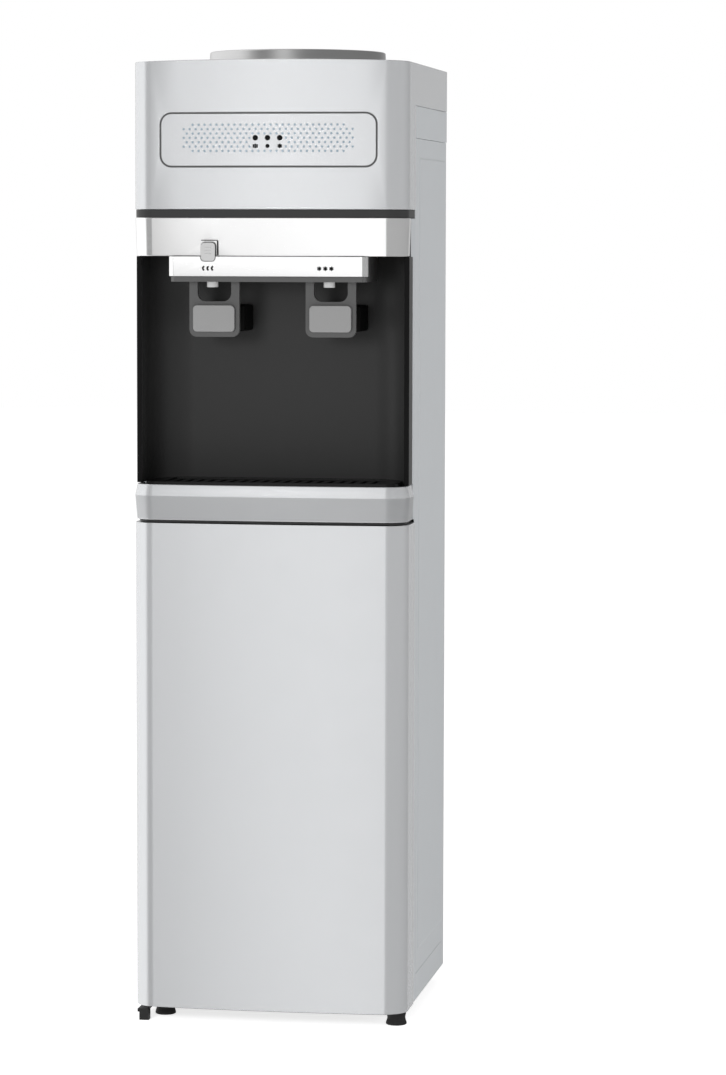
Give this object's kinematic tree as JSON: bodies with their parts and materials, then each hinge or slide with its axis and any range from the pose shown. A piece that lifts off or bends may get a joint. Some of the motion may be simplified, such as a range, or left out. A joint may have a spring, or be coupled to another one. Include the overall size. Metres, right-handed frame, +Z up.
{
  "type": "floor-standing water dispenser",
  "caption": "Tall floor-standing water dispenser with hot and cold push-lever taps over a dark cup bay, drip tray, storage cupboard door and a bottle seat on top.",
  "frame": {"origin": "centre of the object's box at floor level, under the feet", "axes": "+Z up, the taps and the door face -Y, +X to the right as seen from the front"},
  "size_m": [0.3018, 0.3039, 1.0586],
  "materials": {
    "front_silver": "satin silver-grey moulded plastic",
    "side_silver": "silver-grey coated steel sheet",
    "white_gloss": "glossy white moulded plastic",
    "charcoal_plastic": "satin charcoal moulded plastic",
    "dark_grey_plastic": "satin dark grey plastic",
    "mid_grey_plastic": "satin mid grey plastic",
    "light_grey_plastic": "satin light grey plastic",
    "liner_grey": "pale grey vacuum-formed plastic",
    "collar_metal": "brushed metal ring",
    "tank_steel": "drawn stainless steel",
    "zinc_sheet": "galvanised steel sheet",
    "copper_tube": "bright drawn copper tube",
    "black_paint": "black painted steel",
    "rubber_black": "moulded black rubber",
    "foam_white": "expanded foam",
    "hose_clear": "milky silicone",
    "board_green": "green circuit board",
    "lamp_black": "unlit dark lamp lens",
    "switch_red": "red rocker",
    "switch_green": "green rocker",
    "black_gloss": "glossy black moulded plastic"
  },
  "bodies": {
    "cabinet": {"base_pan": "black_paint", "foot_front_left": "rubber_black", "foot_front_right": "rubber_black", "foot_rear_left": "rubber_black", "foot_rear_right": "rubber_black", "lower_hinge_bracket": "black_paint", "side_panel_left": "side_silver", "side_panel_right": "side_silver", "rear_panel": "zinc_sheet", "front_rail_left": "side_silver", "front_rail_right": "side_silver", "tank_deck": "zinc_sheet", "cabinet_liner": "liner_grey", "door_catch": "charcoal_plastic", "tray_shelf": "charcoal_plastic", "alcove_liner": "charcoal_plastic", "fascia_band": "white_gloss", "trim_strip": "charcoal_plastic", "top_cover": "front_silver", "upper_frame": "side_silver", "display_panel": "front_silver", "lamp_heating": "lamp_black", "lamp_power": "lamp_black", "lamp_cooling": "lamp_black", "display_board": "board_green", "bottle_collar": "collar_metal", "bottle_funnel": "charcoal_plastic", "feed_spike": "liner_grey", "cold_tank": "tank_steel", "cold_tank_jacket": "foam_white", "evaporator_coil": "copper_tube", "hot_tank": "tank_steel", "hot_pipe": "hose_clear", "cold_pipe": "hose_clear", "transfer_pipe": "hose_clear", "drain_pipe": "hose_clear", "compressor": "black_paint", "condenser_tube": "black_paint", "power_inlet": "charcoal_plastic", "tap_bar": "white_gloss", "tap_bar_base": "dark_grey_plastic", "hot_valve_body": "hose_clear", "hot_nozzle": "light_grey_plastic", "cold_valve_body": "hose_clear", "cold_nozzle": "light_grey_plastic"},
    "door": {"door_shell": "front_silver", "door_inner_panel": "liner_grey"},
    "tray": {"tray_front": "front_silver", "drip_basin": "charcoal_plastic"},
    "grille": {"drip_grille": "black_gloss"},
    "hot_tap_lever": {"hot_lever": "dark_grey_plastic", "hot_lever_pad": "mid_grey_plastic"},
    "cold_tap_lever": {"cold_lever": "dark_grey_plastic", "cold_lever_pad": "mid_grey_plastic"},
    "hot_valve_plunger": {"hot_plunger": "tank_steel"},
    "cold_valve_plunger": {"cold_plunger": "tank_steel"},
    "child_lock": {"child_lock_button": "light_grey_plastic"},
    "heating_rocker": {"heating_switch": "switch_red"},
    "cooling_rocker": {"cooling_switch": "switch_green"},
    "drain_cap": {"drain_plug": "white_gloss"}
  },
  "joints": [
    {"name": "door_hinge", "type": "hinge", "parent": "cabinet", "child": "door", "pos_m": [-0.1445, -0.0875, 0.28], "axis": [0, 0, -1], "range_deg": [0, 92]},
    {"name": "tray_pull", "type": "slide", "parent": "cabinet", "child": "tray", "axis": [0, -1, 0], "range_m": [0, 0.09]},
    {"name": "grille_lift", "type": "slide", "parent": "tray", "child": "grille", "axis": [0, 0, 1], "range_m": [0, 0.04]},
    {"name": "hot_lever_push", "type": "hinge", "parent": "cabinet", "child": "hot_tap_lever", "pos_m": [-0.0638, -0.1195, 0.822], "axis": [1, 0, 0], "range_deg": [0, 10], "stiffness_Nm_per_rad": 1.2, "springref_deg": -5.73},
    {"name": "cold_lever_push", "type": "hinge", "parent": "cabinet", "child": "cold_tap_lever", "pos_m": [0.0638, -0.1195, 0.822], "axis": [1, 0, 0], "range_deg": [0, 10], "stiffness_Nm_per_rad": 1.2, "springref_deg": -5.73},
    {"name": "hot_plunger_travel", "type": "slide", "parent": "cabinet", "child": "hot_valve_plunger", "axis": [0, 0, -1], "range_m": [0, 0.003]},
    {"name": "cold_plunger_travel", "type": "slide", "parent": "cabinet", "child": "cold_valve_plunger", "axis": [0, 0, -1], "range_m": [0, 0.003]},
    {"name": "child_lock_press", "type": "slide", "parent": "cabinet", "child": "child_lock", "axis": [0, 1, 0], "range_m": [0, 0.002], "stiffness_N_per_m": 400, "springref_m": -0.002},
    {"name": "heating_switch_rock", "type": "hinge", "parent": "cabinet", "child": "heating_rocker", "pos_m": [-0.06, 0.133, 0.89], "axis": [1, 0, 0], "range_deg": [0, 16]},
    {"name": "cooling_switch_rock", "type": "hinge", "parent": "cabinet", "child": "cooling_rocker", "pos_m": [-0.03, 0.133, 0.89], "axis": [1, 0, 0], "range_deg": [0, 16]},
    {"name": "drain_plug_pull", "type": "slide", "parent": "cabinet", "child": "drain_cap", "axis": [0, 1, 0], "range_m": [0, 0.03]}
  ],
  "couplings": [
    {"joint": "hot_plunger_travel", "follows": "hot_lever_push", "m_per_rad": 0.0149},
    {"joint": "cold_plunger_travel", "follows": "cold_lever_push", "m_per_rad": 0.0149}
  ]
}
